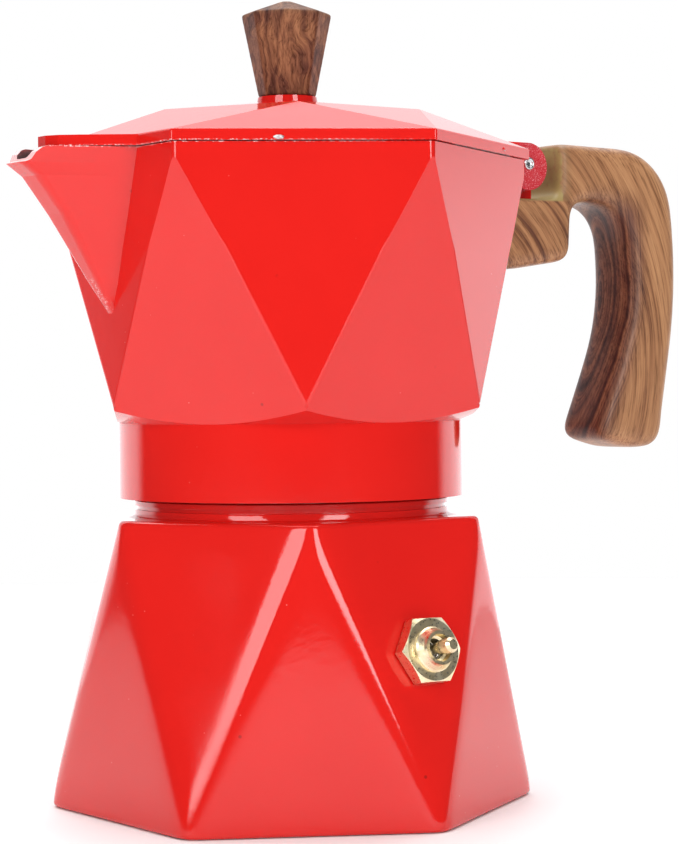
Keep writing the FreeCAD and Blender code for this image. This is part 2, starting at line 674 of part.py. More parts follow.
def collector():
    wall = value("collector_wall")
    waist = value("waist_radius")
    waist_z = value("waist_height")
    rim = value("rim_radius")
    rim_z = value("rim_band_bottom")
    top = value("rim_top")
    skirt = value("skirt_radius")
    skirt_top = value("skirt_top")
    grow = (rim - waist * math.cos(math.radians(30))) / (rim_z - waist_z)
    flare = rim + (top - rim_z) * grow
    body = faceted([(waist, waist_z, 0), (flare, top, 30)])
    edge = value("collector_edge")
    body = body.makeFillet(edge, edges_that_span(body, waist_z, top))
    limit = faceted([(rim, waist_z - 1, 30), (rim, top, 30)])
    body = body.common(limit.makeFillet(edge, edges_that_span(limit, waist_z - 1, top)))
    # the broad facets run on down below the waist and are cut by a shallow cone
    rise = waist_z - skirt_top
    foot = waist - rise * grow / math.cos(math.radians(30))
    under = faceted([(foot, skirt_top, 0), (waist, waist_z, 0)])
    cone_top = skirt + (rise + 2) * value("underside_slope")
    band = cylinder(skirt, value("skirt_bottom"), skirt_top)
    outside = body.fuse(under).common(cone(skirt, cone_top, skirt_top, waist_z + 2).fuse(
        cylinder(2 * rim, waist_z + 1.9, top + 1)))
    outside = outside.fuse([band, spout_loft(0), hinge_lug()])
    floor = value("collector_floor")
    inside = faceted([
        (waist - wall, floor, 0),
        (rim - wall, rim_z, 30),
        (rim - wall, top + 1, 30),
    ])
    boss = cone(value("column_boss_radius"), value("column_radius") + 1.2,
                floor - 1, value("column_boss_top"))
    shape = outside.cut(inside.cut(boss))
    shape = shape.cut(spout_loft(value("spout_wall")).common(
        cylinder(90, value("spout_apex") + 3, top + 1)))
    dip = value("spout_dip")
    lip = value("spout_lip")
    shape = shape.cut(prism_y([
        (-dip + 1.3, top + 0.1),
        (-dip + 1.3, top),
        (-dip + 0.2, top - 0.3),
        (-dip - 0.9, top - 1.2),
        (-dip - 1.7, lip + 0.5),
        (-dip - 2.6, lip + 0.1),
        (-dip - 9, lip - 0.6),
        (-dip - 9, top + 0.1),
    ], 20))
    # underside: threaded bore, recess for gasket and plate, chamber
    room_top = value("thread_room_top")
    bore = cylinder(value("skirt_bore_radius"), value("skirt_bottom") - 1, room_top)
    plate_top = PLATE + value("sheet_metal")
    recess = cylinder(value("recess_radius"), room_top - 1, plate_top + 0.02)
    chamber = cylinder(value("chamber_radius"), plate_top - 1, value("chamber_top"))
    column_hole = cylinder(value("column_radius") + 0.03, plate_top, value("column_boss_top") + 1)
    shape = shape.cut(bore.fuse([recess, chamber, column_hole])).removeSplitter()
    thread = helical_ridge(value("skirt_bore_radius"), False, value("female_start"),
                           value("female_turns"))
    shape = shape.fuse(thread)
    pin_hole = Part.makeCylinder(value("pin_radius") + 0.02, 30,
                                 Vector(value("pin_reach"), -15, value("pin_height")),
                                 Vector(0, 1, 0))
    screw_hole = Part.makeCylinder(value("handle_screw_radius") + 0.02, 8.5,
                                   Vector(value("handle_screw_reach"), 0,
                                          value("lug_bottom") - 0.5), UP)
    shape = shape.cut([pin_hole, screw_hole])
    # one casting, kept as two solids: base with skirt, floor and boss, and the faceted wall
    low_part = cylinder(2 * rim, value("skirt_bottom") - 1, floor)
    low_part = low_part.fuse(cylinder(value("column_boss_radius") + 3, floor - 1, floor + 6))
    feature("collector_base", shape.common(low_part))
    feature("collector", shape.cut(low_part))


collector()


# ---------------------------------------------------------------------------
# Coffee column and its cap
# ---------------------------------------------------------------------------
def coffee_column():
    top = value("column_top")
    bottom = value("chamber_top")
    tube = cylinder(value("column_radius"), bottom, value("column_boss_top")).fuse(
        cone(value("column_radius"), value("column_top_radius"), value("column_boss_top"), top))
    tube = tube.cut(cylinder(value("column_bore"), bottom - 1, top + 1))
    width = value("outlet_width")
    height = value("outlet_height")
    slot = Part.makeBox(30, width, height + 1, Vector(-15, -width / 2, top - height))
    return feature("coffee_column", tube.cut(slot).removeSplitter())


coffee_column()

turned("column_cap", [
    ("0", "column_top - 3"),
    ("column_bore - 0.03", "column_top - 3"),
    ("column_bore - 0.03", "column_top"),
    ("cap_radius", "column_top"),
    ("cap_radius - 0.6", "column_top + cap_height * 0.55"),
    ("cap_radius * 0.5", "column_top + cap_height * 0.92"),
    ("0", "column_top + cap_height"),
])


# ---------------------------------------------------------------------------
# Lid with beak and hinge cheeks
# ---------------------------------------------------------------------------
def beak(inset, bottom, top):
    """Level wedge over the spout with a blunt tip, its outline pulled in by inset."""
    start = value("lid_radius") * math.cos(math.radians(30)) - 3
    reach = value("beak_reach")
    nose = value("beak_nose")
    side = [
        (start, value("beak_root") - inset),
        (reach - 4.3 - 0.6 * inset, nose + 2.4 - 0.9 * inset),
        (reach - 1.4 - inset, nose - 0.8 * inset),
        (reach - inset, 0.35 * nose - 0.25 * inset),
    ]
    corners = [Vector(-x, -y, bottom) for x, y in side]
    corners += [Vector(-x, y, bottom) for x, y in reversed(side)]
    return face(corners).extrude(Vector(0, 0, top - bottom))


def lid():
    wall = value("lid_wall")
    low = value("lid_bottom")
    edge = value("lid_edge_top")
    inner = value("lid_inner_radius")
    inner_z = value("lid_inner_height")
    peak = value("lid_peak_radius")
    peak_z = value("lid_peak_height")
    radius = value("lid_radius")
    shell = faceted([
        (radius, low, -30),
        (radius, edge, -30),
        (inner, inner_z, 0),
        (peak * 1.12, peak_z, 0),
    ])
    boxes = [(edge_line, edge_line.BoundBox) for edge_line in shell.Edges]
    upper = [e for e, box in boxes if box.ZMax > low + 0.1 and box.ZMin < peak_z - 0.1]
    shell = shell.makeFillet(value("lid_edge"), upper)
    collar = cone(peak, value("lid_collar_radius"), peak_z - 1, value("lid_collar_top"))
    nose = beak(0, low, edge)
    pin_x = value("pin_reach")
    pin_z = value("pin_height")
    half = value("cheek_half_width")
    cheek_top = value("cheek_top")
    cheek_z = pin_z - value("cheek_centre_drop")
    cheek_radius = value("cheek_radius")
    rounding = Part.makeCylinder(cheek_radius, 2 * half, Vector(pin_x, -half, cheek_z),
                                 Vector(0, 1, 0))
    tab = prism_y([
        (38, low),
        (pin_x, low),
        (pin_x, cheek_top),
        (38, cheek_top),
    ], half)
    tab = tab.fuse(rounding).common(prism_y([
        (30, cheek_z - 10),
        (pin_x + 10, cheek_z - 10),
        (pin_x + 10, cheek_top),
        (30, cheek_top),
    ], half))
    outside = shell.fuse([collar, nose, tab])
    hollow = faceted([
        (radius - 2 * wall, low - 0.5, -30),
        (radius - 2 * wall, edge - 0.6, -30),
        (inner - 0.5 * wall, inner_z - wall, 0),
        (peak, peak_z - wall, 0),
    ])
    hollow = hollow.fuse(beak(2.4, low - 0.5, edge - 0.8))
    slot_half = value("lug_half_width + lug_gap")
    slot_back = pin_x - value("lug_radius") - 1.2
    slot = Part.makeBox(30, 2 * slot_half, 30, Vector(slot_back, -slot_half, low - 15))
    pin_hole = Part.makeCylinder(value("pin_radius + pin_clearance"), 30,
                                 Vector(pin_x, -15, pin_z), Vector(0, 1, 0))
    screw_hole = cylinder(value("knob_screw_radius") + 0.15, edge, value("lid_collar_top") + 1)
    shape = outside.cut(hollow).cut([slot, pin_hole, screw_hole])
    return feature("lid", shape.removeSplitter())


lid()


# ---------------------------------------------------------------------------
# Knob and what holds it
# ---------------------------------------------------------------------------
def lid_knob():
    turn = value("knob_turn")

    def octagon(radius, height):
        angles = [math.radians(turn + 45 * i) for i in range(8)]
        points = [Vector(radius * math.cos(a), radius * math.sin(a), height) for a in angles]
        return Part.makePolygon(points + points[:1])

    foot = value("knob_foot")
    crown = value("knob_crown")
    peak = value("knob_peak")
    crown_radius = value("knob_crown_radius")
    flare = Part.makeLoft([
        octagon(value("knob_foot_radius"), foot),
        octagon(crown_radius, crown),
    ], True, True)
    roof = Part.makeLoft([
        octagon(crown_radius, crown),
        octagon(crown_radius * 0.12, peak),
    ], True, True)
    pocket = cylinder(value("insert_radius") + 0.02, foot - 1, foot + value("insert_length"))
    return feature("lid_knob", flare.fuse(roof).cut(pocket).removeSplitter())


lid_knob()

turned("knob_insert", [
    ("knob_screw_radius + 0.02", "knob_foot"),
    ("insert_radius", "knob_foot"),
    ("insert_radius", "knob_foot + insert_length - 0.1"),
    ("knob_screw_radius + 0.02", "knob_foot + insert_length - 0.1"),
])

WASHER = "lid_peak_height - lid_wall"

turned("knob_washer", [
    ("knob_screw_radius + 0.2", WASHER + " - 0.8"),
    ("knob_washer_radius", WASHER + " - 0.8"),
    ("knob_washer_radius", WASHER),
    ("knob_screw_radius + 0.2", WASHER),
])

turned("knob_screw", [
    ("0", WASHER + " - 2.8"),
    ("knob_screw_head - 0.8", WASHER + " - 2.8"),
    ("knob_screw_head", WASHER + " - 1.8"),
    ("knob_screw_head", WASHER + " - 0.8"),
    ("knob_screw_radius", WASHER + " - 0.8"),
    ("knob_screw_radius", "knob_foot + insert_length - 1"),
    ("0", "knob_foot + insert_length - 1"),
])


# ---------------------------------------------------------------------------
# Hinge pin, handle and its screw
# ---------------------------------------------------------------------------
def across():
    """Placement that lays a turned piece along +Y through the hinge."""
    base = Vector(value("pin_reach"), -value("cheek_half_width") - 0.5, value("pin_height"))
    return Placement(base, Rotation(Vector(1, 0, 0), -90))


turned("hinge_pin", [
    ("0", "0"),
    ("pin_head_radius", "0"),
    ("pin_head_radius", "0.4"),
    ("pin_radius", "0.4"),
    ("pin_radius", "2 * cheek_half_width + 0.6"),
    ("pin_head_radius", "2 * cheek_half_width + 0.6"),
    ("pin_head_radius", "2 * cheek_half_width + 1"),
    ("0", "2 * cheek_half_width + 1"),
], across())


def rounded_outline(corners):
    """Closed face in the XZ plane through corners (x, z, radius), each rounded by a tangent arc."""
    edges = []
    ends = []
    count = len(corners)
    for i, (x, z, radius) in enumerate(corners):
        corner = Vector(x, 0, z)
        before = Vector(corners[i - 1][0], 0, corners[i - 1][1]) - corner
        after = Vector(corners[(i + 1) % count][0], 0, corners[(i + 1) % count][1]) - corner
        before.normalize()
        after.normalize()
        half_angle = before.getAngle(after) / 2
        reach = radius / math.tan(half_angle)
        start = corner + before * reach
        end = corner + after * reach
        if radius > 0:
            bisector = (before + after).normalize()
            middle = corner + bisector * (radius / math.sin(half_angle) - radius)
            edges.append(Part.Arc(start, middle, end).toShape())
        ends.append((start, end))
    for i in range(count):
        edges.append(Part.LineSegment(ends[i - 1][1], ends[i][0]).toShape())
    return Part.Face(Part.Wire(Part.__sortEdges__(edges)))


def handle():
    top = value("handle_top")
    notch_x = value("handle_notch_wall")
    floor = value("handle_notch_floor")
    front = value("handle_front")
    half = value("handle_half_width")
    gap_top = 122.0
    outline = rounded_outline([
        (notch_x, top, 0),
        (97.6, top, 15.0),
        (100.6, 103.5, 100.0),
        (94.4, 69.0, 5.0),
        (85.0, 68.9, 20.0),
        (75.2, 71.6, 2.8),
        (86.0, 98.3, 45.0),
        (84.9, gap_top, 9.0),
        (69.2, gap_top, 3.5),
        (68.6, 109.5, 3.0),
        (front, 105.8, 0),
        (front, floor, 0),
        (notch_x, floor, 3.2),
    ])
    solid = outline.extrude(Vector(0, 2 * half, 0))
    solid.translate(Vector(0, -half, 0))
    round_edges = []
    for edge in solid.Edges:
        box = edge.BoundBox
        flat = box.YLength < 0.01
        notch = box.XMax < notch_x + 0.1 and box.ZMin > floor - 0.1
        if flat and not notch and box.XMin > front + 0.1:
            round_edges.append(edge)
    solid = solid.makeFillet(value("handle_edge"), round_edges)
    slot_half = value("lug_half_width") + 0.15
    slot_end = value("pin_reach + lug_radius") + 0.3
    slot = Part.makeBox(slot_end - front + 5, 2 * slot_half, floor - value("lug_bottom") + 5.3,
                        Vector(front - 5, -slot_half, value("lug_bottom") - 0.02))
    screw_x = value("handle_screw_reach")
    seat = value("handle_screw_seat")
    hole = Part.makeCylinder(value("handle_screw_radius") + 0.1, 20, Vector(screw_x, 0, 100), UP)
    sink = Part.makeCylinder(value("handle_screw_head") + 0.3, 20, Vector(screw_x, 0, seat - 20), UP)
    return feature("handle", solid.cut([slot, hole, sink]).removeSplitter())


handle()

turned("handle_screw", [
    ("0", "0"),
    ("handle_screw_head - 0.7", "0"),
    ("handle_screw_head", "0.9"),
    ("handle_screw_head", "2.1"),
    ("handle_screw_radius", "2.1"),
    ("handle_screw_radius", "12"),
    ("0", "12"),
], Placement(Vector(value("handle_screw_reach"), 0, value("handle_screw_seat") - 2.1), Rotation()))

# ---------------------------------------------------------------------------
# Check every object and write the sub-parts
# ---------------------------------------------------------------------------
doc.recompute()
for item in doc.Objects:
    if "Invalid" in item.State or "Error" in item.State:
        raise RuntimeError("failed object: " + item.Label)
for item in sub_parts:
    if item.Shape.isNull() or not item.Shape.isValid():
        raise RuntimeError("bad shape: " + item.Label)
for item in sub_parts:
    box = item.Shape.BoundBox
    print("%-16s solids %d volume %9.1f z %.2f..%.2f" % (
        item.Label, len(item.Shape.Solids), item.Shape.Volume, box.ZMin, box.ZMax))
    item.Shape.exportStep("parts/%s.step" % item.Label)
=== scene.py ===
"""Moka pot: finishes for the CAD nodes, finer stand-ins for five of them, and a pale studio."""
import math

import bmesh
import bpy
from mathutils import Matrix, Vector, noise

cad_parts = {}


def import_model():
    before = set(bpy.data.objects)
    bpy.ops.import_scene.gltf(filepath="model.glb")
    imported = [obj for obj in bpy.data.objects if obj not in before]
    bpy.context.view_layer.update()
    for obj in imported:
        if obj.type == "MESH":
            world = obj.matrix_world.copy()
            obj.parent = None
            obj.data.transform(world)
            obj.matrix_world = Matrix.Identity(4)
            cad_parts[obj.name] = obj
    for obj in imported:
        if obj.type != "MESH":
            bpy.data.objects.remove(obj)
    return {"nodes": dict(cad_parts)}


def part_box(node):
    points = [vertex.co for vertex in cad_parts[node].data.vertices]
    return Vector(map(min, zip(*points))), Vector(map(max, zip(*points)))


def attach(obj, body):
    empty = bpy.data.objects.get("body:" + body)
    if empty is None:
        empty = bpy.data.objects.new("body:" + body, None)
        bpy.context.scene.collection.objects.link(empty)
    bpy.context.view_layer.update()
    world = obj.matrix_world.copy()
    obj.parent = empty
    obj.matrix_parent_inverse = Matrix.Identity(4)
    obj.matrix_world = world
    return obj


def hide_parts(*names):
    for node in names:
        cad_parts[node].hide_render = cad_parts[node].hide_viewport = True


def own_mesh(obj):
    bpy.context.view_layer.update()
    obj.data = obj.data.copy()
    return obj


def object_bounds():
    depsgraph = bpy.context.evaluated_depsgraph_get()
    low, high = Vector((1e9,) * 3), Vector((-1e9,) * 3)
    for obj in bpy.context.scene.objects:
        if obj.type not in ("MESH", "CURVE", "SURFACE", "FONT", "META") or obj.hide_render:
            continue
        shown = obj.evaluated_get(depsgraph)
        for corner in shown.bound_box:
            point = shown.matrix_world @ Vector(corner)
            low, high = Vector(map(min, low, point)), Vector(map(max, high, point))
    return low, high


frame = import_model()
CAD_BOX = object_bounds()
NODES = frame["nodes"]
MM = 0.001
FRONT = math.radians(-124.1445)  # azimuth of the viewer's side

# Sizes in millimetres
BASE_RADIUS = 48.95  # boiler's corners at the bottom
SHOULDER_RADIUS = 40.4  # boiler's corners at the shoulder
SHOULDER = 57.7  # height of the boiler's shoulder
EDGE = 1.0  # rounding of the boiler's bottom and shoulder edges
WALL = 3.2
INSIDE_FLOOR = 2.6
NECK = 31.5  # radius of the boiler's neck, and of the parts cut into it
GROOVE = 30.9
THREAD_ROOT = 30.3
BORE = 27.0
MOUTH = 69.6  # height of the boiler's mouth
VALVE_HEIGHT = 33.0
RIM = 128.0  # height of the collector's rim
SEAM = 128.55  # height of the gap under the lid's rim
LID_REACH = 49.0  # the lid's corners from the axis
LIP = 126.5  # middle height of the spout's lip
SPOUT_FOOT = 101.0  # height of the apex below the spout
CHEEK_MIDDLE = (56.7, 0.0, 129.1)  # middle of the hinge cheeks
BOILER_TURN = math.radians(1.2)


# ---------------------------------------------------------------------------
# Node helpers
# ---------------------------------------------------------------------------
class Graph:
    """Small wrapper that adds and links nodes of one material or world."""

    def __init__(self, tree):
        self.tree = tree

    def add(self, kind, *feeds, out=0, **settings):
        """Node of that kind. Feeds are (input, value or socket)."""
        node = self.tree.nodes.new("ShaderNode" + kind)
        for key, val in settings.items():
            setattr(node, key, val)
        for slot, val in feeds:
            if isinstance(val, bpy.types.NodeSocket):
                self.tree.links.new(val, node.inputs[slot])
            else:
                node.inputs[slot].default_value = val
        return node.outputs[out]

    def math(self, operation, a, b=0.0, c=0.0):
        return self.add("Math", (0, a), (1, b), (2, c), operation=operation)

    def times(self, product, *factors):
        for factor in factors:
            product = self.math("MULTIPLY", product, factor)
        return product

    def plus(self, a, b):
        return self.math("ADD", a, b)

    def minus(self, a, b):
        return self.math("SUBTRACT", a, b)

    def line(self, val, factor, offset):
        """val times factor, plus offset."""
        return self.math("MULTIPLY_ADD", val, factor, offset)

    def most(self, a, b):
        return self.math("MAXIMUM", a, b)

    def apart(self, a, b=None):
        """Size of a, or how far it is from b."""
        return self.math("ABSOLUTE", a if b is None else self.minus(a, b))

    def vec(self, operation, a, b=(0, 0, 0)):
        out = 1 if operation in ("LENGTH", "DOT_PRODUCT", "DISTANCE") else 0
        return self.add("VectorMath", (0, a), (1, b), operation=operation, out=out)

    def split(self, vector):
        node = self.tree.nodes.new("ShaderNodeSeparateXYZ")
        self.tree.links.new(vector, node.inputs[0])
        return node.outputs[0], node.outputs[1], node.outputs[2]

    def join(self, x=0.0, y=0.0, z=0.0):
        return self.add("CombineXYZ", (0, x), (1, y), (2, z))

    def length(self, x, y):
        return self.vec("LENGTH", self.join(x, y, 0.0))

    def step(self, val, low, high, start=0.0, end=1.0):
        """Smooth change from start at low to end at high."""
        return self.add(
            "MapRange", (0, val), (1, low), (2, high), (3, start), (4, end),
            interpolation_type="SMOOTHSTEP",
        )

    def noise(self, vector, scale, detail=2.0, rough=0.5, distortion=0.0):
        return self.add(
            "TexNoise", ("Vector", vector), ("Scale", scale), ("Detail", detail),
            ("Roughness", rough), ("Distortion", distortion),
        )

    def cells(self, vector, scale):
        """Distance from the middle of the nearest cell."""
        return self.add("TexVoronoi", ("Vector", vector), ("Scale", scale))

    def ramp(self, val, *stops):
        """Colour ramp through (position, colour) stops."""
        node = self.tree.nodes.new("ShaderNodeValToRGB")
        self.tree.links.new(val, node.inputs[0])
        elements = node.color_ramp.elements
        while len(elements) < len(stops):
            elements.new(0.5)
        for element, (position, colour) in zip(elements, stops):
            element.position = position
            element.color = (*colour, 1)
        return node.outputs[0]

    def blend(self, share, a, b, mode="MIX"):
        node = self.tree.nodes.new("ShaderNodeMix")
        node.data_type = "RGBA"
        node.blend_type = mode
        for slot, val in ((0, share), (6, a), (7, b)):
            if isinstance(val, bpy.types.NodeSocket):
                self.tree.links.new(val, node.inputs[slot])
            elif slot == 0:
                node.inputs[slot].default_value = val
            else:
                node.inputs[slot].default_value = (*val, 1)
        return node.outputs[2]

    def bump(self, height, millimetres, normal=None):
        feeds = [("Strength", 1.0), ("Distance", millimetres * MM), ("Height", height)]
        if normal is not None:
            feeds.append(("Normal", normal))
        return self.add("Bump", *feeds)


def material(name, **constants):
    """Principled material; the constants go on the shader's own sockets."""
    mat = bpy.data.materials.new(name)
    mat.use_nodes = True
    tree = mat.node_tree
    tree.nodes.clear()
    out = tree.nodes.new("ShaderNodeOutputMaterial")
    shader = tree.nodes.new("ShaderNodeBsdfPrincipled")
    tree.links.new(shader.outputs[0], out.inputs[0])
    for key, val in constants.items():
        shader.inputs[key.replace("_", " ").title().replace("Ior", "IOR")].default_value = val
    return mat, Graph(tree), shader


def feed(graph, shader, **sockets):
    for key, socket in sockets.items():
        graph.tree.links.new(socket, shader.inputs[key.replace("_", " ").title()])


def place(graph):
    """Position in millimetres, in the object's own rest frame."""
    spot = graph.add("TexCoord", out=3)
    return graph.add("VectorMath", (0, spot), ("Scale", 1000.0), operation="SCALE")


def faces_toward(graph):
    """The surface's own normal, in the object's rest frame."""
    return graph.add("TexCoord", out=1)


# ---------------------------------------------------------------------------
# Materials
# ---------------------------------------------------------------------------
def unpainted(g, x, y, z):
    """1 on the inner faces of the castings, which stay bare, 0 on the painted outside."""
    normal = faces_toward(g)
    outward = g.vec("NORMALIZE", g.join(x, y, 0.0))
    reach = g.length(x, y)
    facing = g.vec("DOT_PRODUCT", normal, outward)
    tilt = g.split(normal)[2]
    # walls that face the axis
    inward = g.times(g.step(facing, -0.12, -0.22), g.step(x, 45.0, 44.0))
    # threads and what lies within them
    neck = g.times(g.step(reach, 32.4, 32.2), g.step(z, 61.05, 61.15), g.step(z, 79.0, 78.0))
    # underside of the lid
    roof = g.times(g.step(tilt, -0.4, -0.6), g.step(z, RIM - 1.0, RIM),
                   g.step(reach, 45.0, 44.0))
    # floor of the collector
    ground = g.times(g.step(tilt, 0.4, 0.6), g.step(reach, 30.0, 29.0),
                     g.step(z, 118.0, 117.0))
    return g.most(g.most(inward, neck), g.most(roof, ground))


def wear_and_lip_highlight(g, at, x, y, z):
    """1 where the paint is chipped or rubbed: lid seam, apex below the spout, spout's lip; on
    the lip its upward faces also carry a painted highlight.
    """
    chips = g.step(g.noise(at, 1.6, 4.0, 0.8), 0.50, 0.60)
    seam = g.times(g.step(g.apart(z, SEAM), 0.34, 0.16), g.step(x, 4.0, -30.0))
    apex = g.times(
        g.step(g.apart(y), 1.8, 0.6), g.step(x, -40.0, -42.0),
        g.step(g.apart(z, SPOUT_FOOT), 4, 2), g.step(chips, 0.7, 1.0, 0.0, 0.35),
    )
    # spout's lip: its upward-facing faces are painted pale, both the bare edge and a painted
    # highlight on it
    tilt = g.split(faces_toward(g))[2]
    lip = g.times(g.step(tilt, 0.35, 0.60), g.step(x, -49.0, -51.0),
                  g.step(g.apart(z, LIP), 2.3, 2.1))
    return g.most(g.most(g.times(chips, seam), apex), g.times(lip, 0.85))


def red_enamel():
    """Glossy red paint on the castings, and the bare casting inside them."""
    mat, g, shader = material("red_enamel", specular_ior_level=0.5)
    at = place(g)
    x, y, z = g.split(at)
    # slight drift of the colour over the castings
    drift = g.noise(at, 0.05, 2.0)
    red = g.blend(drift, (0.595, 0.0095, 0.0070), (0.655, 0.0130, 0.0092))
    # dark pin holes and light specks in the paint
    pinhole = g.step(g.cells(at, 0.16), 0.035, 0.065, 1.0, 0.0)
    sparse = g.step(g.noise(at, 0.07, 1.0), 0.56, 0.62)
    red = g.blend(g.times(pinhole, sparse, 0.7), red, (0.22, 0.010, 0.008))
    dust = g.step(g.cells(at, 0.34), 0.02, 0.05, 1.0, 0.0)
    red = g.blend(g.times(dust, g.step(drift, 0.5, 0.6), 0.5), red, (0.85, 0.40, 0.38))
    # orange peel, with coarser grit under the paint in places
    peel = g.noise(at, 0.55, 2.0)
    grit = g.noise(at, 2.6, 3.0, 0.65)
    coarse = g.step(g.noise(at, 0.04, 1.0), 0.42, 0.62)
    # coarser still on the boiler's facet towards the spout
    off_facet = g.apart(g.line(y, 1.0, g.times(x, -0.62)))
    facet = g.times(g.step(off_facet, 15.0, 4.0), g.step(z, SHOULDER + 0.3, 50.0),
                    g.step(x, -18.0, -26.0))
    coarse = g.line(facet, 2.2, coarse)
    # sand-cast skin of the hinge cheeks; the white specks in it are painted glints, a painted
    # highlight for light glinting off the rough skin
    around = g.vec("DISTANCE", g.join(x, 0.0, z), CHEEK_MIDDLE)
    cheek = g.times(g.step(around, 5.5, 5.2), g.step(x, 51.4, 52.4))
    sand = g.noise(at, 4.0, 4.0, 0.8)
    painted_glint = g.times(g.step(g.cells(at, 3.2), 0.30, 0.16), g.step(sand, 0.44, 0.50))
    crimson = g.blend(painted_glint, (0.60, 0.006, 0.020), (0.95, 0.74, 0.78))
    red = g.blend(cheek, red, crimson)
    # chipped paint painted pale; on the spout's lip the pale colour is also a painted highlight
    worn_and_highlight = wear_and_lip_highlight(g, at, x, y, z)
    red = g.blend(worn_and_highlight, red, (0.86, 0.66, 0.66))
    # bare casting inside
    bare = unpainted(g, x, y, z)
    cast = g.ramp(g.noise(at, 0.25, 4.0, 0.6),
                  (0.3, (0.40, 0.40, 0.41)), (0.7, (0.62, 0.62, 0.63)))
    normal = g.bump(peel, 0.010)
    normal = g.bump(g.times(grit, coarse), 0.007, normal)
    normal = g.bump(g.times(sand, cheek), 0.3, normal)
    normal = g.bump(g.times(grit, bare), 0.05, normal)
    rough = g.step(grit, 0.3, 0.7, 0.045, 0.085)
    rough = g.plus(rough, g.times(g.most(cheek, worn_and_highlight), 0.22))
    rough = g.plus(rough, g.times(bare, 0.30))
    feed(g, shader, base_color=g.blend(bare, red, cast), roughness=rough, metallic=bare,
         normal=normal)
    return mat


def bare_aluminium():
    mat, g, shader = material("bare_aluminium", metallic=1.0)
    at = place(g)
    blotch = g.noise(at, 0.12, 4.0, 0.6)
    grain = g.noise(at, 3.0, 3.0, 0.6)
    colour = g.ramp(blotch, (0.3, (0.48, 0.48, 0.49)), (0.7, (0.70, 0.70, 0.71)))
    rough = g.step(grain, 0.3, 0.7, 0.28, 0.45)
    feed(g, shader, base_color=colour, roughness=rough, normal=g.bump(grain, 0.02))
    return mat


def brass():
    mat, g, shader = material("brass", metallic=1.0)
    at = place(g)
    tarnish = g.noise(at, 0.5, 4.0, 0.6)
    colour = g.ramp(tarnish, (0.30, (0.80, 0.66, 0.40)), (0.65, (0.93, 0.82, 0.58)))
    rough = g.step(g.noise(at, 1.5, 3.0), 0.3, 0.7, 0.26, 0.36)
    scratches = g.noise(at, 4.0, 2.0)
    feed(g, shader, base_color=colour, roughness=rough, normal=g.bump(scratches, 0.002))
    return mat


def steel():
    mat, g, shader = material("steel", metallic=1.0)
    streak = g.noise(place(g), 2.0, 3.0, 0.6)
    colour = g.ramp(streak, (0.3, (0.50, 0.50, 0.51)), (0.7, (0.72, 0.72, 0.73)))
    feed(g, shader, base_color=colour, roughness=g.step(streak, 0.3, 0.7, 0.16, 0.3),
         normal=g.bump(streak, 0.01))
    return mat


def silicone():
    mat, g, shader = material("silicone")
    at = place(g)
    haze = g.noise(at, 0.3, 3.0)
    colour = g.ramp(haze, (0.3, (0.70, 0.69, 0.66)), (0.7, (0.82, 0.81, 0.78)))
    feed(g, shader, base_color=colour, roughness=g.step(haze, 0.2, 0.8, 0.45, 0.6),
         normal=g.bump(g.noise(at, 4.0, 2.0), 0.01))
    return mat


def wood_colour(g, streaks, fine, shade):
    """Printed wood: broad streaks, fine fibres, and a shade from 0 light to 1 dark."""
    light = g.ramp(streaks, (0.32, (0.135, 0.052, 0.028)), (0.42, (0.30, 0.136, 0.062)),
                   (0.54, (0.43, 0.215, 0.100)), (0.80, (0.50, 0.265, 0.130)))
    dark = g.ramp(streaks, (0.30, (0.042, 0.014, 0.011)), (0.44, (0.105, 0.038, 0.024)),
                  (0.58, (0.190, 0.078, 0.042)), (0.75, (0.28, 0.125, 0.065)))
    fibre = g.ramp(fine, (0.36, (0.40, 0.32, 0.28)), (0.47, (0.84, 0.80, 0.78)),
                   (0.58, (1, 1, 1)))
    return g.blend(0.85, g.blend(shade, light, dark), fibre, "MULTIPLY")


def ovals(g, across, along, spacing, waver):
    """Nested long ovals, the way a print shows a plain-sawn heart: 0 dark line, 1 between."""
    reach = g.plus(g.length(across, along), waver)
    return g.step(g.noise(g.join(reach, 0.0, 0.0), 1.0 / spacing, 3.0, 0.6), 0.34, 0.64)


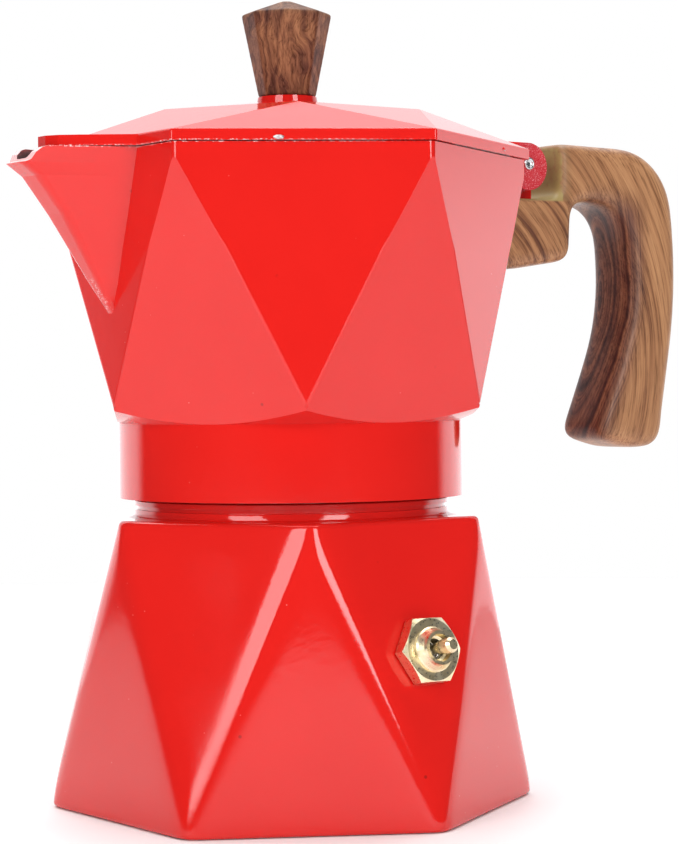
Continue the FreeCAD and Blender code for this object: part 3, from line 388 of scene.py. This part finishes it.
def wood_handle():
    """Wood print whose grain bends round the handle's hook."""
    mat, g, shader = material("wood_handle", specular_ior_level=0.3)
    at = place(g)
    x, y, z = g.split(at)
    # rings about a point inside the pot give the bend
    dx = g.minus(x, 28.0)
    dz = g.minus(z, 89.0)
    ring = g.length(dx, dz)
    along = g.times(g.math("ARCTAN2", dz, dx), 60.0)
    wander = g.noise(g.join(g.times(along, 0.4), y, ring), 0.045, 2.0)
    drift = g.line(wander, 5.5, ring)
    grain = g.join(drift, g.times(y, 0.35), g.times(along, 0.022))
    streaks = g.noise(grain, 0.62, 6.0, 0.68)
    fibres = g.join(drift, g.times(y, 0.8), g.times(along, 0.035))
    fine = g.noise(fibres, 2.8, 3.0, 0.72)
    # the darker heart of the print on the inner side of the grip, with long ovals in it
    bow = g.math("POWER", g.apart(112.0, z), 2.0)
    inner = g.line(bow, 0.0062, g.minus(x, 85.0))
    inner = g.line(wander, 6.0, g.minus(inner, 3.0))
    shade = g.times(g.step(inner, 6.8, 1.6), g.step(x, 71.0, 75.0), g.step(z, 127.0, 119.0))
    high = g.times(g.minus(z, 103.0), 0.24)
    wide = g.minus(g.line(inner, -0.9, y), 2.6)
    rings = ovals(g, wide, high, 1.15, g.times(wander, 5.0))
    heart = g.line(rings, 0.34, g.times(streaks, 0.62))
    # the outer side of the grip is plainer
    plain = g.times(g.step(inner, 8.0, 14.0, 0.0, 0.55), g.step(z, 126.0, 116.0))
    streaks = g.line(g.minus(0.52, streaks), plain, streaks)
    streaks = g.blend(shade, streaks, heart)
    # busier, darker grain on the block
    block = g.times(g.step(x, 78.0, 66.0), -0.035)
    colour = wood_colour(g, g.plus(streaks, block), fine, shade)
    # unprinted plastic in the hinge notch, smudged brown where the print begins
    edge = g.line(g.noise(at, 0.7, 3.0), 1.3, x)
    above = g.step(z, 121.8, 122.3)
    smudge = g.times(g.step(edge, 69.6, 66.9), above, 0.7)
    colour = g.blend(smudge, colour, (0.27, 0.150, 0.070))
    bare = g.times(g.step(edge, 66.8, 66.2), above)
    colour = g.blend(bare, colour, (0.320, 0.240, 0.088))
    feed(g, shader, base_color=colour, roughness=g.step(fine, 0.3, 0.7, 0.46, 0.36),
         normal=g.bump(fine, 0.02))
    return mat


def wood_knob():
    """Darker, curlier print on the lid's knob, with an arch of grain on each side."""
    mat, g, shader = material("wood_knob", specular_ior_level=0.12)
    at = place(g)
    x, y, z = g.split(at)
    swirl = g.noise(at, 0.12, 2.0, 0.5, 0.3)
    sweep = g.line(x, 0.83, g.times(y, -0.56))
    across = g.minus(g.math("PINGPONG", g.plus(sweep, 10.2), 7.5), 3.6)
    high = g.times(g.minus(z, 147.0), 0.28)
    rings = ovals(g, across, high, 0.95, g.times(swirl, 5.0))
    drift = g.line(swirl, 10.0, sweep)
    grain = g.join(drift, g.times(y, 0.4), g.times(z, 0.10))
    streaks = g.noise(grain, 0.70, 6.0, 0.68)
    streaks = g.line(rings, 0.24, g.times(streaks, 0.70))
    fine = g.noise(g.join(drift, y, g.times(z, 0.10)), 2.8, 3.0, 0.72)
    colour = wood_colour(g, streaks, fine, g.step(swirl, 0.60, 0.40, 0.45, 0.95))
    feed(g, shader, base_color=colour, roughness=g.step(fine, 0.3, 0.7, 0.56, 0.44),
         normal=g.bump(fine, 0.02))
    return mat


RED = red_enamel()
ALUMINIUM = bare_aluminium()
BRASS = brass()
STEEL = steel()
SILICONE = silicone()
WOOD = wood_handle()
KNOB = wood_knob()

FINISH = {
    "boiler": RED, "collector_base": RED, "collector": RED, "lid": RED,
    "funnel_basket": ALUMINIUM, "funnel_strainer": ALUMINIUM, "filter_plate": ALUMINIUM,
    "coffee_column": ALUMINIUM, "column_cap": ALUMINIUM,
    "valve_body": BRASS, "valve_seat": BRASS, "valve_pin": BRASS, "knob_insert": BRASS,
    "valve_spring": STEEL, "hinge_pin": STEEL, "knob_screw": STEEL,
    "knob_washer": STEEL, "handle_screw": STEEL,
    "filter_gasket": SILICONE, "valve_seal": SILICONE, "valve_washer": SILICONE,
    "handle": WOOD, "lid_knob": KNOB,
}


def finish_mesh(mesh, finish):
    mesh.materials.clear()
    mesh.materials.append(finish)


for name, node in NODES.items():
    finish_mesh(node.data, FINISH[name])


# ---------------------------------------------------------------------------
# Mesh helpers
# ---------------------------------------------------------------------------
def placed(name, mesh):
    """Object of that mesh, linked to the scene."""
    piece = bpy.data.objects.new(name, mesh)
    bpy.context.scene.collection.objects.link(piece)
    return piece


def built_mesh(name, build):
    """Mesh of a bmesh, which is freed."""
    mesh = bpy.data.meshes.new(name)
    build.to_mesh(mesh)
    build.free()
    return mesh


def finished(name, build, finish, body, slot, *nodes):
    """Piece from a bmesh, riding on a body, standing for those CAD nodes."""
    mesh = built_mesh(name, build)
    finish_mesh(mesh, finish)
    piece = placed(name, mesh)
    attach(piece, body)
    if nodes:
        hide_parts(*nodes)
    return piece


def apply_modifiers(piece):
    """Give the piece its evaluated mesh and drop its modifiers."""
    graph = bpy.context.evaluated_depsgraph_get()
    mesh = bpy.data.meshes.new_from_object(piece.evaluated_get(graph))
    piece.modifiers.clear()
    piece.data = mesh


def add_voxels(piece, size):
    voxels = piece.modifiers.new("voxels", "REMESH")
    voxels.mode = "VOXEL"
    voxels.voxel_size = size * MM


def add_rolling(piece, iterations):
    """Smoothing that rolls the corners off."""
    rolled = piece.modifiers.new("rolled", "SMOOTH")
    rolled.factor = 0.5
    rolled.iterations = iterations
    return rolled


def smooth_faces(piece, crease=None):
    """Smooth shading, with edges sharper than crease degrees kept."""
    piece.data.shade_smooth()
    if crease is not None:
        piece.data.set_sharp_from_angle(angle=math.radians(crease))


def skin(build, loops, steps):
    """Faces between successive rings, of which the first and last may be single points."""
    for low, high in zip(loops, loops[1:]):
        for i in range(steps):
            j = (i + 1) % steps
            if len(low) == 1:
                build.faces.new((low[0], high[j], high[i]))
            elif len(high) == 1:
                build.faces.new((low[i], low[j], high[0]))
            else:
                build.faces.new((low[i], low[j], high[j], high[i]))
    bmesh.ops.recalc_face_normals(build, faces=build.faces)


def lathe(profile, seat, axis):
    """Bmesh of (radius, height) millimetres turned about an axis through seat."""
    build = bmesh.new()
    steps = 48
    turn = axis.to_track_quat("Z", "Y").to_matrix()
    loops = []
    for radius, height in profile:
        if radius == 0:
            loops.append([build.verts.new(seat + turn @ Vector((0, 0, height * MM)))])
            continue
        loop = []
        for i in range(steps):
            angle = 2 * math.pi * i / steps
            spot = Vector((radius * math.cos(angle), radius * math.sin(angle), height)) * MM
            loop.append(build.verts.new(seat + turn @ spot))
        loops.append(loop)
    skin(build, loops, steps)
    return build


# ---------------------------------------------------------------------------
# Boiler
# ---------------------------------------------------------------------------
def facet_planes():
    """Azimuth, distance at the bottom and inward slope of the boiler's twelve facets."""
    flat = math.cos(math.radians(30))
    planes = []
    for k in range(6):
        wide = (BASE_RADIUS * flat - SHOULDER_RADIUS) / SHOULDER
        planes.append((math.radians(60 * k) + BOILER_TURN, BASE_RADIUS * flat, wide))
        steep = (BASE_RADIUS - SHOULDER_RADIUS * flat) / SHOULDER
        planes.append((math.radians(60 * k + 30) + BOILER_TURN, BASE_RADIUS, steep))
    return planes


PLANES = facet_planes()


def facet_radius(azimuth, height):
    """Distance of the faceted side from the axis, its edges softened by a smooth minimum."""
    sharpness = 1.6  # per millimetre
    least_facing = 0.35  # facets turned further away than this don't count
    reaches = []
    for turn, reach, slope in PLANES:
        facing = math.cos(azimuth - turn)
        if facing > least_facing:
            reaches.append((reach - height * slope) / facing)
    nearest = min(reaches)
    total = sum(math.exp(-sharpness * (r - nearest)) for r in reaches)
    return nearest - math.log(total) / sharpness


def thread_rise(azimuth, height):
    """Radial height of the male ridge at that place of the neck."""
    pitch, start, turns, crest, foot, run_out = 3.0, 62.0, 2.2, 0.35, 0.75, 0.03
    best = 0.0
    for turn in range(3):
        along = azimuth / (2 * math.pi) % 1.0 + turn
        if along > turns:
            continue
        off = abs(height - (start + pitch * along))
        fade = min(1.0, min(along, turns - along) / run_out)
        best = max(best, fade * min(1.0, max(0.0, (foot - off) / (foot - crest))))
    return best


def boiler_profile():
    """Rows of the boiler's skin from the bottom's middle outside to its middle inside.

    Each row is (kind, radius or inset, height).
    """
    arc = [math.radians(18 * i) for i in range(6)]
    # bottom and its rounded edge
    rows = [("round", 0.0, 0.0), ("round", 20.0, 0.0), ("round", 36.0, 0.0)]
    rows += [("side", 2.4, 0.0), ("side", EDGE, 0.0)]
    rows += [("side", EDGE * (1 - math.sin(a)), EDGE * (1 - math.cos(a))) for a in arc[1:]]
    # faceted side, then the shoulder's rounded edge
    steps = 44
    for i in range(1, steps):
        rows.append(("side", 0.0, EDGE + (SHOULDER - 2 * EDGE) * i / steps))
    for a in arc:
        rows.append(("side", EDGE * (1 - math.cos(a)), SHOULDER - EDGE + EDGE * math.sin(a)))
    # shoulder, fillet and neck with its groove
    rows += [("side", 2.5, SHOULDER), ("blend", 0.5, SHOULDER)]
    rows += [("round", 32.1, SHOULDER + 0.05), ("round", 31.65, SHOULDER + 0.25)]
    rows += [("round", NECK, SHOULDER + 0.6)]
    rows += [("round", NECK, 59.12), ("round", GROOVE, 59.2), ("round", GROOVE, 59.85)]
    rows += [("round", NECK, 59.93), ("round", NECK, 60.8), ("round", 31.3, 61.0)]
    # thread, mouth and bore
    rows += [("round", 30.4, 61.0)]
    rows += [("thread", THREAD_ROOT, 61.1 + 0.15 * i) for i in range(55)]
    rows += [("round", THREAD_ROOT, 69.3), ("round", 30.0, MOUTH), ("round", 27.3, MOUTH)]
    rows += [("round", BORE, 69.3), ("round", BORE, 62.0), ("round", BORE, 54.6)]
    # cavity
    rows += [("inner", WALL, SHOULDER - WALL), ("inner", WALL, 30.0)]
    rows += [("inner", WALL, INSIDE_FLOOR)]
    rows += [("round", 20.0, INSIDE_FLOOR), ("round", 0.0, INSIDE_FLOOR)]
    return rows


def row_radius(kind, amount, height, azimuth):
    if kind == "round":
        return amount
    if kind == "thread":
        return amount + thread_rise(azimuth, height)
    if kind == "blend":
        return amount * (facet_radius(azimuth, SHOULDER) + NECK + 0.5)
    return facet_radius(azimuth, height) - amount


def valve_axis():
    """Seat of the valve on its facet, and the direction it points, in metres."""
    lean = math.atan((BASE_RADIUS - SHOULDER_RADIUS * math.cos(math.radians(30))) / SHOULDER)
    azimuth = BOILER_TURN - math.pi / 2
    outward = Vector((math.cos(azimuth), math.sin(azimuth), 0))
    sideways = Vector((-math.sin(azimuth), math.cos(azimuth), 0))
    seat = outward * (BASE_RADIUS - VALVE_HEIGHT * math.tan(lean)) + sideways
    seat.z = VALVE_HEIGHT
    return seat * MM, outward * math.cos(lean) + Vector((0, 0, math.sin(lean)))


def drill_valve_hole(piece):
    radius, inner_end, outer_end = 4.2, -15, 6
    profile = ((0, inner_end), (radius, inner_end), (radius, outer_end), (0, outer_end))
    cutter = placed("valve_hole", built_mesh("valve_hole", lathe(profile, *valve_axis())))
    hole = piece.modifiers.new("hole", "BOOLEAN")
    hole.object = cutter
    hole.operation = "DIFFERENCE"
    hole.solver = "EXACT"
    apply_modifiers(piece)
    bpy.data.objects.remove(cutter)


def boiler_shell():
    """Boiler with softly rolled facet edges, as the castings have after polishing."""
    steps = 360
    build = bmesh.new()
    loops = []
    for kind, amount, height in boiler_profile():
        if kind == "round" and amount == 0.0:
            loops.append([build.verts.new((0, 0, height * MM))])
            continue
        loop = []
        for i in range(steps):
            azimuth = 2 * math.pi * i / steps
            radius = row_radius(kind, amount, height, azimuth) * MM
            loop.append(build.verts.new(
                (radius * math.cos(azimuth), radius * math.sin(azimuth), height * MM)))
        loops.append(loop)
    skin(build, loops, steps)
    piece = finished("boiler_shell", build, RED, "boiler", "red_enamel", "boiler")
    drill_valve_hole(piece)
    smooth_faces(piece, 34)


# ---------------------------------------------------------------------------
# Smaller pieces
# ---------------------------------------------------------------------------
def ramp_between(val, start, end):
    """0 up to start, 1 from end on, straight between."""
    return min(1.0, max(0.0, (val - start) / (end - start)))


def soft_handle():
    """Moulded handle: the CAD solid with its cross-section rolled off towards the grip."""
    least, tip_share = 0.22, 0.32  # shares of the rolling on the block and the grip's end
    piece = placed("handle_moulded", NODES["handle"].data.copy())
    add_voxels(piece, 0.45)
    apply_modifiers(piece)
    hold = piece.vertex_groups.new(name="rolled")
    for vertex in piece.data.vertices:
        spot = vertex.co / MM
        grip = ramp_between(spot.x, 67.0, 81.0)
        tip = tip_share + (1 - tip_share) * ramp_between(spot.z, 69.5, 76.5)
        hold.add([vertex.index], max(least, grip * tip), "REPLACE")
    add_rolling(piece, 230).vertex_group = "rolled"
    apply_modifiers(piece)
    finish_mesh(piece.data, WOOD)
    smooth_faces(piece)
    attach(piece, "collector")
    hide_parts("handle")


def soft_knob():
    """Knob with the slightly dulled corners of a moulding."""
    piece = placed("knob_moulded", NODES["lid_knob"].data.copy())
    add_voxels(piece, 0.28)
    add_rolling(piece, 14)
    apply_modifiers(piece)
    finish_mesh(piece.data, KNOB)
    smooth_faces(piece)
    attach(piece, "lid")
    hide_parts("lid_knob")


def hinge_rivet():
    """Tubular hinge pin, hollow and flared at its near end, domed at its far end."""
    profile = (
        (0.0, 0.42), (0.60, 0.40), (0.72, 0.30), (0.82, 0.10), (1.02, 0.0), (1.22, 0.06),
        (1.34, 0.24), (1.32, 0.42), (1.10, 0.50), (1.10, 14.6), (1.32, 14.68),
        (1.26, 14.86), (0.9, 14.97), (0.4, 15.0), (0.0, 15.0),
    )
    low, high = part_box("hinge_pin")
    seat = Vector(((low.x + high.x) / 2, low.y, (low.z + high.z) / 2))
    build = lathe(profile, seat, Vector((0, 1, 0)))
    piece = finished("hinge_rivet", build, STEEL, "collector", "steel", "hinge_pin")
    smooth_faces(piece, 50)


def spring_coil():
    """Valve spring: its own copy of the CAD coil, riding on the relief pin's body."""
    piece = placed("spring_coil", NODES["valve_spring"].data.copy())
    seat, axis = valve_axis()
    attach(piece, "relief_pin")
    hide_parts("valve_spring")
    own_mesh(piece)


def casting_nub(name, finish, slot, side, share, height, size):
    """Small stub left by the casting gate on the lid's rim.

    It sits at a share of the way along the rim's side that starts at azimuth side. Size is
    (half width, half height, how far it stands proud).
    """
    near = Vector((math.cos(side), math.sin(side), 0))
    far = Vector((math.cos(side + math.pi / 3), math.sin(side + math.pi / 3), 0))
    foot = near.lerp(far, share) * LID_REACH
    outward = (near + far).normalized()
    sideways = Vector((0, 0, 1)).cross(outward)
    wide, tall, proud = size
    build = bmesh.new()
    bmesh.ops.create_icosphere(build, subdivisions=4, radius=1.0)
    for vertex in build.verts:
        across, upward, out = vertex.co
        lump = 1.0 + 0.22 * noise.noise(vertex.co * 1.7 + foot)
        spot = foot + sideways * across * wide * lump + outward * out * proud * lump
        spot.z = height + upward * tall * lump
        vertex.co = spot * MM
    smooth_faces(finished(name, build, finish, "lid", slot))


boiler_shell()
soft_handle()
soft_knob()
hinge_rivet()
spring_coil()
casting_nub("casting_nub_front", ALUMINIUM, "bare_aluminium",
            side=math.radians(-150), share=0.403, height=129.1, size=(1.0, 0.42, 0.42))
casting_nub("casting_nub_side", RED, "red_enamel",
            side=math.radians(-90), share=0.71, height=129.55, size=(0.9, 0.40, 0.25))


# ---------------------------------------------------------------------------
# Floor, light and camera, in metres
# ---------------------------------------------------------------------------
TOWARD_VIEWER = Vector((math.cos(FRONT), math.sin(FRONT), 0))


def floor():
    radius, forward, below = 0.85, 0.30, 0.0001
    build = bmesh.new()
    bmesh.ops.create_circle(build, cap_ends=True, segments=96, radius=radius)
    plane = placed("floor", built_mesh("floor", build))
    plane.location = TOWARD_VIEWER * forward
    plane.location.z = CAD_BOX[0][2] - below
    mat, g, shader = material("floor_paint", roughness=0.6, specular_ior_level=0.2)
    tone = g.noise(g.add("TexCoord", out=3), 1.5, 2.0)
    paint = g.ramp(tone, (0.3, (0.90, 0.90, 0.90)), (0.7, (0.92, 0.92, 0.92)))
    feed(g, shader, base_color=paint)
    finish_mesh(plane.data, mat)


def world():
    """Plain white to the eye; its light comes from behind and above, little from in front."""
    in_front = 0.09
    sky = bpy.data.worlds.new("studio")
    bpy.context.scene.world = sky
    sky.use_nodes = True
    tree = sky.node_tree
    tree.nodes.clear()
    g = Graph(tree)
    out = tree.nodes.new("ShaderNodeOutputWorld")
    direction = g.vec("NORMALIZE", g.add("TexCoord", out=0))
    toward = g.vec("DOT_PRODUCT", direction, tuple(TOWARD_VIEWER))
    behind = g.step(toward, -0.38, -0.58)
    rise = g.split(direction)[2]
    glow = g.plus(g.step(rise, 0.04, 0.13, 1.75, 1.05), g.step(rise, 0.40, 0.68, 0.0, 0.8))
    studio = g.line(behind, glow, in_front)
    seen = g.add("LightPath", out=0)
    strength = g.plus(seen, g.times(g.minus(1.0, seen), studio))
    tint = g.blend(seen, (0.955, 0.975, 1.0), (1.0, 1.0, 1.0))
    back = g.add("Background", (0, tint), (1, strength))
    tree.links.new(back, out.inputs[0])


def softbox(name, offset, height, distance, size, power, target=0.08):
    """Area light, offset degrees from the viewer's side, aimed at target height on the axis."""
    light = bpy.data.lights.new(name, "AREA")
    light.shape = "RECTANGLE"
    light.size, light.size_y = size
    light.energy = power
    lamp = placed(name, light)
    azimuth = FRONT + math.radians(offset)
    spot = Vector((math.cos(azimuth) * distance, math.sin(azimuth) * distance, height))
    lamp.location = spot
    lamp.rotation_euler = (Vector((0, 0, target)) - spot).to_track_quat("-Z", "Y").to_euler()


def camera():
    """Viewer's place and lens."""
    distance, height = 0.50336, 0.08445
    yaw, pitch, roll = (math.radians(a) for a in (1.12, 0.97, -0.56))
    ahead = Vector((math.sin(yaw) * math.cos(pitch), math.cos(yaw) * math.cos(pitch),
                    -math.sin(pitch)))
    right = Vector((math.cos(yaw), -math.sin(yaw), 0))
    up = right.cross(ahead)
    side = right * math.cos(roll) + up * math.sin(roll)
    top = up * math.cos(roll) - right * math.sin(roll)
    pose = Matrix((side, top, -ahead)).transposed().to_4x4()
    pose.translation = Vector((0, -distance, height))
    data = bpy.data.cameras.new("camera")
    data.lens = 106.87
    data.sensor_width = 36
    eye = placed("camera", data)
    eye.matrix_world = Matrix.Rotation(FRONT + math.pi / 2, 4, "Z") @ pose
    bpy.context.scene.camera = eye


camera()
floor()
world()
softbox("softbox_left", -33, 0.42, 0.9, (0.43, 0.60), 4.9)
softbox("softbox_right", 32, 0.40, 0.9, (0.29, 0.58), 4.4)
softbox("softbox_top", 180, 1.1, 0.15, (1.1, 0.7), 13, target=0.0)
bpy.context.scene.view_settings.view_transform = "Standard"
